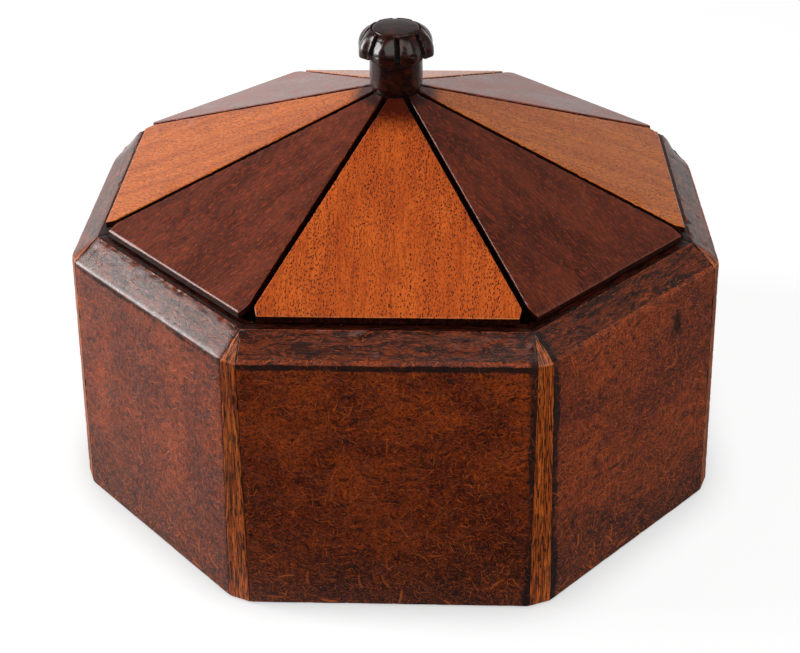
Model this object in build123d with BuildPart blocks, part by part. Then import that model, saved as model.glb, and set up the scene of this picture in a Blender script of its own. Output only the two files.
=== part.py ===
"""Octagonal ditty box: eight mitred staves, eight corner strips, a base board and a lift-off pyramid lid.

Millimetres, +Z up. The origin is on the table, under the middle of the box, and the front wall faces -Y.
"""

import os
from math import atan2, cos, degrees, hypot, radians, sin, sqrt, tan

from build123d import *

os.makedirs("parts", exist_ok=True)

# --- Box: driving dimensions -------------------------------------------------------------------------
width = 228.0  # across the side walls, at the rim's outer arris
depth = 221.5  # across the front and back walls, at the same height
flare = 4.5  # how much farther out each wall stands at its foot
rim_height = 103.6  # top of the bevel, and the ledge that the lid rests on
bevel_height = 6.8  # how far the bevel drops from there to the outer arris
bevel_run = 9.6  # how far in the bevel goes
wall_thickness = 16.0  # at the rim, from the outer arris to the inside face
foot_rounding = 1.2  # rounding of the bottom outer edges
arris_rounding = 1.6  # rounding between the wall and the bevel
ledge_rounding = 0.4  # softened arris between the bevel and the ledge

# --- Corner strips -----------------------------------------------------------------------------------
strip_face = 5.5  # width of a strip's outer flat at the rim's arris

# --- Base board --------------------------------------------------------------------------------------
base_thickness = 9.0
rebate_depth = 6.0  # how far the board is let into each stave
board_fit = 0.2  # clearance round the board in its rebate

# --- Lid ---------------------------------------------------------------------------------------------
lid_inset = 12.1  # from the rim's outer arris in to the edge of the lid's boards
lid_edge_rise = 3.4  # from the ledge up to the upper arris of the boards at the lid's edge
lid_rise = 38.2  # from that arris up to the point where the lid's slopes would meet
lid_board_thickness = 2.5  # measured upright
board_gap = 2.3  # open joint between two lid boards
board_arris_chamfer = 0.4  # softened upper arris of the lid boards
light_clip_along_edge = 2.6  # outer corners of the light boards, cut off along the lid's edge
dark_clip_along_edge = 1.8  # and those of the dark boards
clip_along_side = 4.0  # both are cut off this far along the joint
core_setback = 2.0  # how far the core stands back under the boards
plug_thickness = 6.0  # locating board that drops inside the walls
lid_clearance = 0.6  # between the locating board and the inside of the walls
plug_chamfer = 1.2  # lead-in round the locating board

# --- Knob --------------------------------------------------------------------------------------------
neck_radius = 9.6
neck_foot_radius = 8.4
neck_foot_height = 3.6  # the neck rounds in to its foot over this height
neck_fit = 0.3  # clearance between the neck and the ends of the lid boards
neck_height = 14.1  # from the top of the boards at the knob up to the head
head_radius = 14.3
head_lip = 0.3  # how much the head draws in at its lower edge
head_lip_height = 0.8
head_straight = 2.0  # from the head's lower edge up to where it starts to curve in
dome_rise = 7.5  # from there up to the ring groove that bounds the disc
ring_radius = 9.1
ring_depth = 0.7
disc_radius = 8.3
disc_rise = 0.4  # how far the disc's flat stands above the ring groove
disc_bevel = 1.5  # width of the bevel between them
lobe_count = 8
lobe_groove_width = 1.8
lobe_groove_depth = 1.7
lobe_chamfer = 0.35  # softened edges of the lobes along the grooves
knob_turn = 4.0  # degrees that the front groove stands round from straight ahead
tenon_radius = 5.0
tenon_length = 24.0
tenon_fit = 0.05  # radial clearance of the tenon in its bore
tenon_end_gap = 2.0  # room for glue under the tenon

# --- Values that follow from these -------------------------------------------------------------------
half_turn_of_corner = radians(22.5)  # half of the 45 degrees between two neighbouring walls
corner_tan = tan(half_turn_of_corner)
arris_height = rim_height - bevel_height  # where the outer wall turns into the bevel
lid_edge_height = rim_height + lid_edge_rise
lid_foot_height = lid_edge_height - lid_board_thickness  # underside of the boards at the lid's edge
apex_height = lid_edge_height + lid_rise
lid_slope = lid_rise / (depth / 2 - lid_inset)  # rise per millimetre on the front slope
boards_top_at_neck = apex_height - neck_foot_radius * lid_slope
knob_seat_height = boards_top_at_neck - lid_board_thickness  # flat on top of the core
head_bottom = boards_top_at_neck + neck_height
dome_foot = head_bottom + head_straight
ring_height = dome_foot + dome_rise
dome_run = head_radius - ring_radius
dome_radius = (dome_run**2 + dome_rise**2) / (2 * dome_run)
dome_centre_radius = head_radius - dome_radius
groove_end_radius = (ring_radius + 3 * disc_radius) / 4  # the lobes' grooves run out into the ring groove
groove_end_height = dome_foot + sqrt(
    (dome_radius - lobe_groove_depth) ** 2 - (groove_end_radius - dome_centre_radius) ** 2
)
corner_run = bevel_run / cos(half_turn_of_corner)  # the bevel's length along a corner
strip_spread = (strip_face / 2) / (corner_run - strip_face / 2 * corner_tan)  # half width per reach

wall_names = ["front", "front_right", "right", "back_right", "back", "back_left", "left", "front_left"]


def octagon(inset):
    """The box's eight corners, each wall moved in by inset; corner k ends the wall of wall_names[k]."""
    side = width / 2 - inset
    front = depth / 2 - inset
    slant = side * sqrt(2)
    quarter = [(slant - front, -front), (side, side - slant)]
    half = quarter + [(x, -y) for x, y in reversed(quarter)]
    return half + [(-x, -y) for x, y in half]


def wall_normal(k):
    """Axis pointing straight out of wall k."""
    turn = radians(-90 + 45 * k)
    return Axis((0, 0, 0), (cos(turn), sin(turn), 0))


def wall_direction(k):
    """Axis pointing along wall k."""
    turn = radians(45 * k)
    return Axis((0, 0, 0), (cos(turn), sin(turn), 0))


def corner_axes(k):
    """Unit vectors in plan at corner k: straight out of the corner, and along its flat."""
    turn = radians(-67.5 + 45 * k)
    return Vector(cos(turn), sin(turn)), Vector(-sin(turn), cos(turn))


def flat_reach(outward):
    """How far a corner strip's flat is from the strip's point where the walls stand outward beyond the arris."""
    run = (bevel_run + outward) / cos(half_turn_of_corner)
    return run / (1 + corner_tan * strip_spread)


def wall_section(k):
    """Upright plane across wall k, with x straight out from the rim's outer arris and y up."""
    out = wall_normal(k).direction
    distance = depth / 2 if k % 4 == 0 else width / 2
    return Plane(origin=out * distance, x_dir=out, z_dir=out.cross(Vector(0, 0, 1)))


def corner_section(k):
    """Upright plane through corner k, with x straight out from the point of its strip and y up."""
    out = corner_axes(k)[0]
    return Plane(origin=octagon(bevel_run)[k], x_dir=out, z_dir=out.cross(Vector(0, 0, 1)))


def strip_plan(k):
    """Plan of the V-shaped slot of corner k, from the ledge's corner out past the foot."""
    point = Vector(*octagon(bevel_run)[k])
    out, along = corner_axes(k)
    reach = 2 * flat_reach(flare)
    ends = [point + out * reach + along * (side * reach * strip_spread) for side in (-1, 1)]
    return [(p.X, p.Y) for p in [point] + ends]


def stave_plan(k):
    """Plan of stave k between its two mitres, from the inside face out past the foot."""
    inner = octagon(wall_thickness)
    outer = octagon(-2 * flare)
    return [outer[k - 1], outer[k], inner[k], inner[k - 1]]


# --- Staves: the wall's section run along it, cut to its mitres and to the slots of the corner strips --
for k, wall_name in enumerate(wall_names):
    with BuildPart() as stave:
        with BuildSketch(wall_section(k)) as section:
            Polygon(
                (rebate_depth - wall_thickness, 0),
                (flare, 0),
                (0, arris_height),
                (-bevel_run, rim_height),
                (-wall_thickness, rim_height),
                (-wall_thickness, base_thickness),
                (rebate_depth - wall_thickness, base_thickness),
                align=None,
            )
            fillet(section.vertices().sort_by_distance((flare, 0))[0], foot_rounding)
            fillet(section.vertices().sort_by_distance((0, arris_height))[0], arris_rounding)
            fillet(section.vertices().sort_by_distance((-bevel_run, rim_height))[0], ledge_rounding)
        extrude(amount=width / 2, both=True)
        with BuildSketch(Plane.XY):
            Polygon(*stave_plan(k), align=None)
            Polygon(*strip_plan(k), align=None, mode=Mode.SUBTRACT)
            Polygon(*strip_plan(k - 1), align=None, mode=Mode.SUBTRACT)
        extrude(amount=rim_height, mode=Mode.INTERSECT)
    stave.part.label = f"wall_{wall_name}"
    export_step(stave.part, f"parts/wall_{wall_name}.step")

# --- Corner strips: the V of the slot, cut to the strip's own upright section --------------------------
for k in range(8):
    with BuildPart() as strip:
        with BuildSketch(corner_section(k)) as section:
            Polygon(
                (0, 0), (flat_reach(flare), 0), (flat_reach(0), arris_height), (0, rim_height), align=None
            )
            fillet(section.vertices().sort_by_distance((flat_reach(flare), 0))[0], foot_rounding)
            fillet(section.vertices().sort_by_distance((flat_reach(0), arris_height))[0], arris_rounding)
        extrude(amount=width / 2, both=True)
        with BuildSketch(Plane.XY):
            Polygon(*strip_plan(k), align=None)
        extrude(amount=rim_height, mode=Mode.INTERSECT)
        with BuildSketch(Plane.XY):
            Polygon(*octagon(wall_thickness - rebate_depth), align=None)
        extrude(amount=base_thickness, mode=Mode.SUBTRACT)
    strip.part.label = f"corner_strip_{k + 1}"
    export_step(strip.part, f"parts/corner_strip_{k + 1}.step")

# --- Base board --------------------------------------------------------------------------------------
with BuildPart() as base_board:
    with BuildSketch(Plane.XY):
        Polygon(*octagon(wall_thickness - rebate_depth + board_fit), align=None)
    extrude(amount=base_thickness)
base_board.part.label = "base_board"
export_step(base_board.part, "parts/base_board.step")

# --- Lid: the form of its boards' upper side and, one board thickness lower, the form that carries them
with BuildPart() as boards_form:
    with BuildSketch(Plane.XY.offset(lid_edge_height)):
        Polygon(*octagon(lid_inset), align=None)
    extrude(amount=-lid_board_thickness)
    with BuildSketch(Plane.XY.offset(lid_edge_height)) as lid_edge:
        Polygon(*octagon(lid_inset), align=None)
    loft(sections=[lid_edge.sketch, Vertex(0, 0, apex_height)])

with BuildPart() as carrier_form:
    with BuildSketch(Plane.XY.offset(rim_height)):
        Polygon(*octagon(lid_inset), align=None)
    extrude(amount=lid_foot_height - rim_height)
    with BuildSketch(Plane.XY.offset(lid_foot_height)) as lid_foot:
        Polygon(*octagon(lid_inset), align=None)
    loft(sections=[lid_foot.sketch, Vertex(0, 0, apex_height - lid_board_thickness)])

# --- Lid core: low pyramid that rests on the ledge, with a flat seat and a bore for the knob -----------
with BuildPart() as lid_core:
    with BuildSketch(Plane.XY.offset(rim_height)):
        Polygon(*octagon(lid_inset + core_setback), align=None)
    extrude(amount=knob_seat_height - rim_height)
    add(carrier_form.part, mode=Mode.INTERSECT)
    with BuildSketch(Plane.XY.offset(knob_seat_height)):
        Circle(tenon_radius + tenon_fit)
    extrude(amount=-(tenon_length + tenon_end_gap), mode=Mode.SUBTRACT)
lid_core.part.label = "lid_core"
export_step(lid_core.part, "parts/lid_core.step")

# --- Locating board under the core ---------------------------------------------------------------------
with BuildPart() as locating_board:
    with BuildSketch(Plane.XY.offset(rim_height)):
        Polygon(*octagon(wall_thickness + lid_clearance), align=None)
    extrude(amount=-plug_thickness)
    chamfer(locating_board.faces().sort_by(Axis.Z)[0].edges(), plug_chamfer)
locating_board.part.label = "lid_locating_board"
export_step(locating_board.part, "parts/lid_locating_board.step")

# --- Lid boards ----------------------------------------------------------------------------------------
for k, wall_name in enumerate(wall_names):
    wood = "light" if k % 2 == 0 else "dark"
    corners = octagon(lid_inset)
    lid_corners = [corners[k - 1], corners[k]]
    with BuildPart() as board:
        with BuildSketch(Plane.XY.offset(lid_foot_height)) as plan:
            Polygon(*lid_corners, (0, 0), align=None)
            for x, y in lid_corners:
                joint_angle = degrees(atan2(y, x))
                Rectangle(
                    2 * hypot(x, y), board_gap, rotation=joint_angle, align=(Align.CENTER, Align.CENTER),
                    mode=Mode.SUBTRACT,
                )
            edge = plan.edges().filter_by(wall_direction(k)).sort_by(wall_normal(k))[-1]
            clip_along_edge = light_clip_along_edge if wood == "light" else dark_clip_along_edge
            chamfer(edge.vertices(), clip_along_edge, clip_along_side, reference=edge)
            Circle(neck_foot_radius + neck_fit, mode=Mode.SUBTRACT)
        extrude(amount=lid_rise)
        add(boards_form.part, mode=Mode.INTERSECT)
        add(carrier_form.part, mode=Mode.SUBTRACT)
        upper_face = board.faces().sort_by(SortBy.AREA)[-2:].sort_by(Axis.Z)[-1]
        chamfer(upper_face.edges().filter_by(GeomType.LINE), board_arris_chamfer)
    board.part.label = f"lid_board_{wood}_{wall_name}"
    export_step(board.part, f"parts/lid_board_{wood}_{wall_name}.step")

# --- Knob: turned neck and domed head, with lobes carved round the head -------------------------------
with BuildPart() as lobe_groove:
    with BuildSketch(Plane.XZ):
        with BuildLine():
            floor_radius = head_radius - lobe_groove_depth
            outside = head_radius + lobe_groove_depth
            Line((floor_radius, head_bottom), (floor_radius, dome_foot))
            TangentArc((floor_radius, dome_foot), (groove_end_radius, groove_end_height), tangent=(0, 1))
            Polyline(
                (groove_end_radius, groove_end_height),
                (groove_end_radius, ring_height),
                (outside, ring_height),
                (outside, head_bottom),
                (floor_radius, head_bottom),
            )
        make_face()
    extrude(amount=lobe_groove_width / 2, both=True)

with BuildPart() as knob:
    with BuildSketch(Plane.XZ):
        with BuildLine():
            Polyline(
                (disc_radius, ring_height),
                (disc_radius - disc_bevel, ring_height + disc_rise),
                (0, ring_height + disc_rise),
                (0, knob_seat_height - tenon_length),
                (tenon_radius, knob_seat_height - tenon_length),
                (tenon_radius, knob_seat_height),
                (neck_foot_radius, knob_seat_height),
                (neck_foot_radius, boards_top_at_neck),
            )
            TangentArc(
                (neck_radius, boards_top_at_neck + neck_foot_height),
                (neck_foot_radius, boards_top_at_neck),
                tangent=(0, -1),
            )
            Polyline(
                (neck_radius, boards_top_at_neck + neck_foot_height),
                (neck_radius, head_bottom),
                (head_radius - head_lip, head_bottom),
                (head_radius, head_bottom + head_lip_height),
                (head_radius, dome_foot),
            )
            TangentArc((head_radius, dome_foot), (ring_radius, ring_height), tangent=(0, 1))
            Polyline(
                (ring_radius, ring_height),
                ((ring_radius + disc_radius) / 2, ring_height - ring_depth),
                (disc_radius, ring_height),
            )
        make_face()
    revolve(axis=Axis.Z)
    with PolarLocations(0, lobe_count, start_angle=-90 + knob_turn):
        add(lobe_groove.part, mode=Mode.SUBTRACT)
    upright = knob.faces().filter_by(lambda face: face.is_planar and abs(face.normal_at().Z) < 0.01)
    flanks = upright.sort_by(SortBy.AREA)[-2 * lobe_count :]
    head_faces = knob.faces().filter_by(lambda face: face.center().Z > head_bottom + head_lip_height)
    lobes = head_faces.filter_by(GeomType.REVOLUTION) + head_faces.filter_by(GeomType.CYLINDER)
    chamfer(flanks.edges() & lobes.edges(), lobe_chamfer)
knob.part.label = "knob"
export_step(knob.part, "parts/knob.step")
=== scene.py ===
"""The octagonal ditty box dressed for its photograph: worn staves, corner strips, lid boards and knob."""

from math import atan2, cos, hypot, pi, radians, sin, sqrt, tan

import bpy
import numpy as np
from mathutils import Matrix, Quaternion, Vector


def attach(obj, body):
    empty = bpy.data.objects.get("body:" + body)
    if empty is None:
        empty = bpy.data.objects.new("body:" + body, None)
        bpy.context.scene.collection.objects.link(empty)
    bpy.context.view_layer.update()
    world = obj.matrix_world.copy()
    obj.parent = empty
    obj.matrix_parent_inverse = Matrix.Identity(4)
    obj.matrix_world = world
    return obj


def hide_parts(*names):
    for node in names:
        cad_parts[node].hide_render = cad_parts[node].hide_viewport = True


MM = 0.001

# --- The object's dimensions, in millimetres, as its solids have them ---
WIDTH = 228.0
DEPTH = 221.5
FLARE = 4.5
RIM_HEIGHT = 103.6
BEVEL_HEIGHT = 6.8
BEVEL_RUN = 9.6
WALL_THICKNESS = 16.0
FOOT_ROUNDING = 1.2
ARRIS_ROUNDING = 1.6
LEDGE_ROUNDING = 0.4
STRIP_FACE = 5.5
BASE_THICKNESS = 9.0
REBATE_DEPTH = 6.0
LID_INSET = 12.1
LID_EDGE_RISE = 3.4
LID_RISE = 38.2
BOARD_THICKNESS = 2.5
BOARD_GAP = 2.3
LIGHT_CLIP_ALONG_EDGE = 2.6
DARK_CLIP_ALONG_EDGE = 1.8
CLIP_ALONG_SIDE = 4.0
NECK_RADIUS = 9.6
NECK_FOOT_RADIUS = 8.4
NECK_FOOT_HEIGHT = 3.6
NECK_FIT = 0.3
NECK_HEIGHT = 14.1
HEAD_RADIUS = 14.3
HEAD_STRAIGHT = 2.0
DOME_RISE = 7.5
RING_RADIUS = 9.1
RING_DEPTH = 0.7
DISC_RADIUS = 8.3
DISC_RISE = 0.4
LOBE_COUNT = 8
GROOVE_DEPTH = 2.6
KNOB_TURN = 4.0
TENON_RADIUS = 5.0
TENON_LENGTH = 24.0

ARRIS_HEIGHT = RIM_HEIGHT - BEVEL_HEIGHT
LID_EDGE_HEIGHT = RIM_HEIGHT + LID_EDGE_RISE
APEX_HEIGHT = LID_EDGE_HEIGHT + LID_RISE
LID_SLOPE = LID_RISE / (DEPTH / 2 - LID_INSET)
BOARDS_TOP_AT_NECK = APEX_HEIGHT - NECK_FOOT_RADIUS * LID_SLOPE
KNOB_SEAT = BOARDS_TOP_AT_NECK - BOARD_THICKNESS
HEAD_BOTTOM = BOARDS_TOP_AT_NECK + NECK_HEIGHT
DOME_FOOT = HEAD_BOTTOM + HEAD_STRAIGHT
RING_HEIGHT = DOME_FOOT + DOME_RISE
DOME_RUN = HEAD_RADIUS - RING_RADIUS
DOME_RADIUS = (DOME_RUN**2 + DOME_RISE**2) / (2 * DOME_RUN)
HALF_CORNER = radians(22.5)
CORNER_RUN = BEVEL_RUN / cos(HALF_CORNER)
STRIP_SPREAD = (STRIP_FACE / 2) / (CORNER_RUN - STRIP_FACE / 2 * tan(HALF_CORNER))

# --- Wear, dirt and painted shade, reflection and sheen, wall by wall from the one that faces front round the box ---
WALL_NAMES = ["front", "front_right", "right", "back_right", "back", "back_left", "left", "front_left"]
HANDLED_WALLS = (6, 7)  # walls whose rim is polished by hands
STAINED_WALL = 1
CORNER_WEAR = [0, 0, 3.2, 0, 0, 1.8, 0, 0]  # how far the rim's corners are rubbed round, in millimetres
CORNER_WEAR_DOWN = 14  # how far below the arris that starts, in millimetres
JOINT_ROUNDING, STRIP_JOINT_ROUNDING = 0.45, 0.3  # millimetres
SOFTEST_BOARD = 1  # its left side is worn rounder
KNOB_SHADE_REACH = (7.0, 13.5)  # millimetres that the painted reflection and shade of the dark knob reach, on the other boards and on the front one
SHADE_BAND_STRENGTH = [1.1, 0.3, 0.3, 0.5, 0.5, 0.5, 0.5, 0.8]  # how black the painted shade under the arris is
BOARD_PAINTED_SHEEN = [0.0, 0.1, 1.0, 1.0, 1.0, 0.85, 0.7, 0.2]  # how strongly each lid board is painted yellower and paler, a painted sheen strongest on the boards facing away from the front
# how dark the dirt is along the left and right end of each wall
END_DIRT = [(0.5, 0.85), (1.0, 0.4), (0.5, 0.5), (0.5, 0.5), (0.5, 0.5), (0.5, 0.5), (0.5, 0.5), (0.4, 0.3)]

# --- Seeds of the worn shapes: each wall, strip and board adds SEED_STEP times its number ---
STAVE_SEED, STRIP_SEED, BOARD_SEED, KNOB_SEED = 100, 300, 500, 700
SEED_STEP = 10
RAGGED_SEED, SHADED_SEED, BAND_SEED, PATCH_SEED, STAIN_SEED = 900, 930, 950, 970, 990

# --- Steps along the wood and into it from each piece to the next, so that no two look the same ---
STAVE_GRAIN_STEP, STRIP_GRAIN_STEP, BOARD_GRAIN_STEP = (300, 3.7), (40, 5.3), (200, 2.9)
UNDERSIDE_GRAIN = 1.3
KNOB_GRAIN_SHIFT = np.array([50.0, 50.0, 0.0])

# --- Spacing of the meshes, in millimetres ---
STAVE_ENDS = np.array([0.0, 0.06, 0.14, 0.24, 0.36, 0.5, 0.7, 1.0, 1.4, 1.9, 2.6, 3.4, 4.3])
STAVE_COLUMNS = 84
STRIP_SHARES = np.array([1.0, 0.985, 0.955, 0.91, 0.85, 0.75, 0.6, 0.4, 0.2])  # of its half width
STRIP_BACK = np.array([0.7, 0.35, 0.0, -0.35, -0.7])  # along the V behind its flat
BOARD_ENDS = np.array([0.0, 0.02, 0.07, 0.15, 0.26, 0.4, 0.6, 0.9, 1.3, 1.8, 2.5, 3.3, 4.2])
BOARD_ROWS = 96
BOARD_SHARES = np.array([0.0, 0.012, 0.03, 0.055, 0.085, 0.12, 0.18, 0.26, 0.36, 0.48, 0.6, 0.72, 0.86, 1.0])
BOARD_SIDES = np.array([0.0, 0.02, 0.07, 0.15, 0.26, 0.4, 0.6, 0.9])
KNOB_COLUMNS = 480
DISC_RADII = (7.3, 6.6, 5.6, 4.4, 3.0, 1.6, 0.5, 0.01)

# --- Camera and floor ---
CAMERA_PLACE, CAMERA_TARGET = (17.19, -483.66, 355.39), (0.87, 0.0, 75.71)  # millimetres
CAMERA_LENS = 65.27
CAMERA_SHIFT = -0.1
CAMERA_ROLL = -0.47  # degrees
LAMPS_TARGET = (0, 0, 0.08)  # metres
FLOOR_SIZE = 8.0  # metres, from the middle
FLOOR_GREY = 0.3  # the floor's own colour
FLOOR_GLOW = 0.81  # how much whiter than its own colour the camera sees the floor
CONTACT_SHADE = 0.3  # how much of that the floor loses right beside the object, as a painted contact shadow
CONTACT_REACH = 0.02  # metres


# --- Plan of the box ---
def octagon(inset):
    """The eight corners with each wall moved in by inset; corner k ends wall k."""
    side, front = WIDTH / 2 - inset, DEPTH / 2 - inset
    slant = side * sqrt(2)
    quarter = [(slant - front, -front), (side, side - slant)]
    half = quarter + [(x, -y) for x, y in reversed(quarter)]
    return np.array(half + [(-x, -y) for x, y in half])


def apothem(k):
    """Distance from the axis to the outer arris of wall k."""
    return DEPTH / 2 if k % 4 == 0 else WIDTH / 2


def wall_axes(k):
    """Unit vectors in plan along wall k and straight out of it."""
    turn = radians(45 * k)
    return np.array([cos(turn), sin(turn)]), np.array([sin(turn), -cos(turn)])


def corner_axes(k):
    """Unit vectors in plan straight out of corner k and along its flat."""
    turn = radians(-67.5 + 45 * k)
    return np.array([cos(turn), sin(turn)]), np.array([-sin(turn), cos(turn)])


def flat_reach(outward):
    """How far a strip's flat is from the strip's point where the walls stand outward beyond the arris."""
    return (BEVEL_RUN + outward) / cos(HALF_CORNER) / (1 + tan(HALF_CORNER) * STRIP_SPREAD)


def stave_end(k, side, outward):
    """How far along wall k its stave reaches at its near (-1) or far (+1) end, outward of the rim's arris."""
    along, out = wall_axes(k)
    corner = k if side > 0 else k - 1
    at_arris, farther = octagon(0)[corner] @ along, octagon(-1)[corner] @ along
    on_mitre = at_arris + (farther - at_arris) * outward
    point = octagon(BEVEL_RUN)[corner]
    corner_out, corner_along = corner_axes(corner)
    slot_side = corner_out - side * corner_along * STRIP_SPREAD
    on_slot = point @ along + (outward + BEVEL_RUN) * (slot_side @ along) / (slot_side @ out)
    return np.where(outward > -BEVEL_RUN, on_slot, on_mitre)


# --- Seeded noise and profiles of wear ---
def value_noise(x, y, seed):
    """Smooth noise from 0 to 1 that changes over one unit."""
    count = 64
    lattice = np.random.default_rng(seed).random((count, count))
    x0, y0 = np.floor(x).astype(int), np.floor(y).astype(int)
    fx, fy = x - x0, y - y0
    fx, fy = fx * fx * (3 - 2 * fx), fy * fy * (3 - 2 * fy)

    def corner(dx, dy):
        return lattice[(x0 + dx) % count, (y0 + dy) % count]

    low = corner(0, 0) * (1 - fx) + corner(1, 0) * fx
    high = corner(0, 1) * (1 - fx) + corner(1, 1) * fx
    return low * (1 - fy) + high * fy


def rough_noise(x, y, seed, octaves=3):
    """Several octaves of value_noise, from 0 to 1."""
    total, weight = 0.0, 0.0
    for octave in range(octaves):
        total = total + value_noise(x * 2**octave, y * 2**octave, seed + octave) * 0.5**octave
        weight += 0.5**octave
    return total / weight


def smooth(value, low, high):
    """0 below low, 1 above high, and a smooth step between them."""
    t = np.clip((value - low) / (high - low), 0, 1)
    return t * t * (3 - 2 * t)


def near(distance, reach):
    """1 at no distance, falling off over reach."""
    return np.exp(-((distance / reach) ** 2))


def most(*shares):
    """The greatest of several shares at each point."""
    return np.maximum.reduce(np.broadcast_arrays(*shares))


def rounded(distance, radius):
    """How far an arris rounded to a radius stands back at a distance from it."""
    inside = np.clip(radius - distance, 0, radius)
    return radius - np.sqrt(np.clip(radius**2 - inside**2, 0, None))


def dents(x, y, seed, count, box, sizes, depths):
    """Depth of count shallow dents strewn over box, ((x0, x1), (y0, y1))."""
    random = np.random.default_rng(seed)
    depth = np.zeros_like(x)
    for _ in range(count):
        cx, cy = random.uniform(*box[0]), random.uniform(*box[1])
        size, turn = random.uniform(*sizes), random.uniform(0, pi)
        stretch = random.uniform(1.0, 2.6)
        along = (x - cx) * cos(turn) + (y - cy) * sin(turn)
        across = (y - cy) * cos(turn) - (x - cx) * sin(turn)
        hole = random.uniform(*depths) * near(np.hypot(along / stretch, across), size)
        depth = np.maximum(depth, hole)
    return depth


# --- Sections ---
def arc(centre, radius, start, end, steps):
    """Points on an arc, angles in degrees."""
    angles = np.radians(np.linspace(start, end, steps + 1))
    return [(centre[0] + radius * cos(a), centre[1] + radius * sin(a)) for a in angles]


def fillet_points(before, corner, after, radius, steps):
    """Points that round a corner of a section."""
    before, corner, after = (np.array(p, float) for p in (before, corner, after))
    d0, d1 = before - corner, after - corner
    d0, d1 = d0 / np.linalg.norm(d0), d1 / np.linalg.norm(d1)
    half = np.arccos(np.clip(d0 @ d1, -1, 1)) / 2
    centre = corner + (d0 + d1) / np.linalg.norm(d0 + d1) * radius / sin(half)
    first, last = corner + d0 * radius / tan(half), corner + d1 * radius / tan(half)
    a0, a1 = atan2(*(first - centre)[::-1]), atan2(*(last - centre)[::-1])
    turn = (a1 - a0 + pi) % (2 * pi) - pi
    angles = [a0 + turn * t for t in np.linspace(0, 1, steps + 1)]
    return [centre + radius * np.array([cos(a), sin(a)]) for a in angles]


def subdivided(points, step):
    """The polyline with extra points, so that no two are farther apart than step."""
    out = [np.array(points[0], float)]
    for p, q in zip(points, points[1:]):
        p, q = np.array(p, float), np.array(q, float)
        count = max(1, int(np.ceil(np.linalg.norm(q - p) / step)))
        out += [p + (q - p) * i / count for i in range(1, count + 1)]
    return out


def run_along(section):
    """How far along the section each of its points is."""
    return np.concatenate([[0], np.cumsum(np.linalg.norm(np.diff(section, axis=0), axis=1))])


def normals_of(tangent):
    """Unit vectors to the right of each tangent."""
    normal = np.stack([tangent[:, 1], -tangent[:, 0]], 1)
    return normal / np.linalg.norm(normal, axis=1)[:, None]


# --- Mesh helpers ---
def grid_faces(rows, columns, close_rows=False, close_columns=False, start=0):
    """Quads of a grid of points numbered row by row."""
    faces = []
    for i in range(rows if close_rows else rows - 1):
        for j in range(columns if close_columns else columns - 1):
            a, b = i * columns + j, i * columns + (j + 1) % columns
            c, d = ((i + 1) % rows) * columns + (j + 1) % columns, ((i + 1) % rows) * columns + j
            faces.append((start + a, start + b, start + c, start + d))
    return faces


def tube_faces(rows, columns):
    """Quads round a tube whose rows are closed, with a face over each end."""
    ends = [tuple(reversed(range(columns))), tuple((rows - 1) * columns + j for j in range(columns))]
    return grid_faces(rows, columns, close_columns=True) + ends


def make_piece(name, points, faces, attributes, materials, face_materials=None, sharp=40):
    """A smooth-shaded mesh object from points in millimetres."""
    mesh = bpy.data.meshes.new(name)
    mesh.from_pydata((points.reshape(-1, 3) * MM).tolist(), [], faces)
    for key, values in attributes.items():
        kind, field = ("FLOAT_VECTOR", "vector") if key == "grain" else ("FLOAT", "value")
        values = np.asarray(values, np.float32).ravel()
        mesh.attributes.new(key, kind, "POINT").data.foreach_set(field, values)
    for material in materials:
        mesh.materials.append(material)
    if face_materials is not None:
        mesh.polygons.foreach_set("material_index", np.asarray(face_materials, np.int32))
    mesh.polygons.foreach_set("use_smooth", np.ones(len(faces), bool))
    mesh.update()
    mesh.set_sharp_from_angle(angle=radians(sharp))
    piece = bpy.data.objects.new(name, mesh)
    bpy.context.scene.collection.objects.link(piece)
    return piece


def grain_places(x, s, k, step):
    """The places in its wood that piece k's points show."""
    return np.stack([x + step[0] * k, s, np.full_like(s, step[1] * k)], 2)


def place(piece, body, node):
    """Puts a piece in the place of a solid of the part."""
    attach(piece, body)
    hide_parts(node)


# --- Staves ---
ROW_MATERIALS = {
    "foot": 0, "wall": 0, "bevel": 1, "under": 2, "inside": 2, "rebate": 2, "ledge_arris": 3, "ledge": 3,
    "arris": 4,
}


def stave_section():
    """The stave's section from the rebate round the outside to the inside, with each point's part."""
    foot, arris, inner = (FLARE, 0), (0, ARRIS_HEIGHT), (-BEVEL_RUN, RIM_HEIGHT)
    rebate = REBATE_DEPTH - WALL_THICKNESS
    parts = [
        ("under", [(rebate, 0), (FLARE - FOOT_ROUNDING - 0.3, 0)], 2.0),
        ("foot", fillet_points((rebate, 0), foot, arris, FOOT_ROUNDING, 8), 9),
        ("wall", None, 1.0),
        ("arris", fillet_points(foot, arris, inner, ARRIS_ROUNDING, 5), 9),
        ("bevel", None, 0.75),
        ("ledge_arris", fillet_points(arris, inner, (-WALL_THICKNESS, RIM_HEIGHT), LEDGE_ROUNDING, 4), 9),
        ("ledge", [(-BEVEL_RUN - 0.5, RIM_HEIGHT), (-WALL_THICKNESS, RIM_HEIGHT)], 0.8),
        ("inside", [(-WALL_THICKNESS, RIM_HEIGHT - 1), (-WALL_THICKNESS, BASE_THICKNESS)], 8),
        ("rebate", [(-WALL_THICKNESS + 1, BASE_THICKNESS), (rebate, BASE_THICKNESS), (rebate, 1)], 3),
    ]
    points, kinds = [], []
    for index, (kind, line, step) in enumerate(parts):
        if line is None:
            before, after = parts[index - 1][1][-1], parts[index + 1][1][0]
            line = subdivided([before, after], step)[1:-1]
        else:
            line = subdivided(line, step)
        points += [np.array(p, float) for p in line]
        kinds += [kind] * len(line)
    return np.array(points), np.array(kinds)


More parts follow.
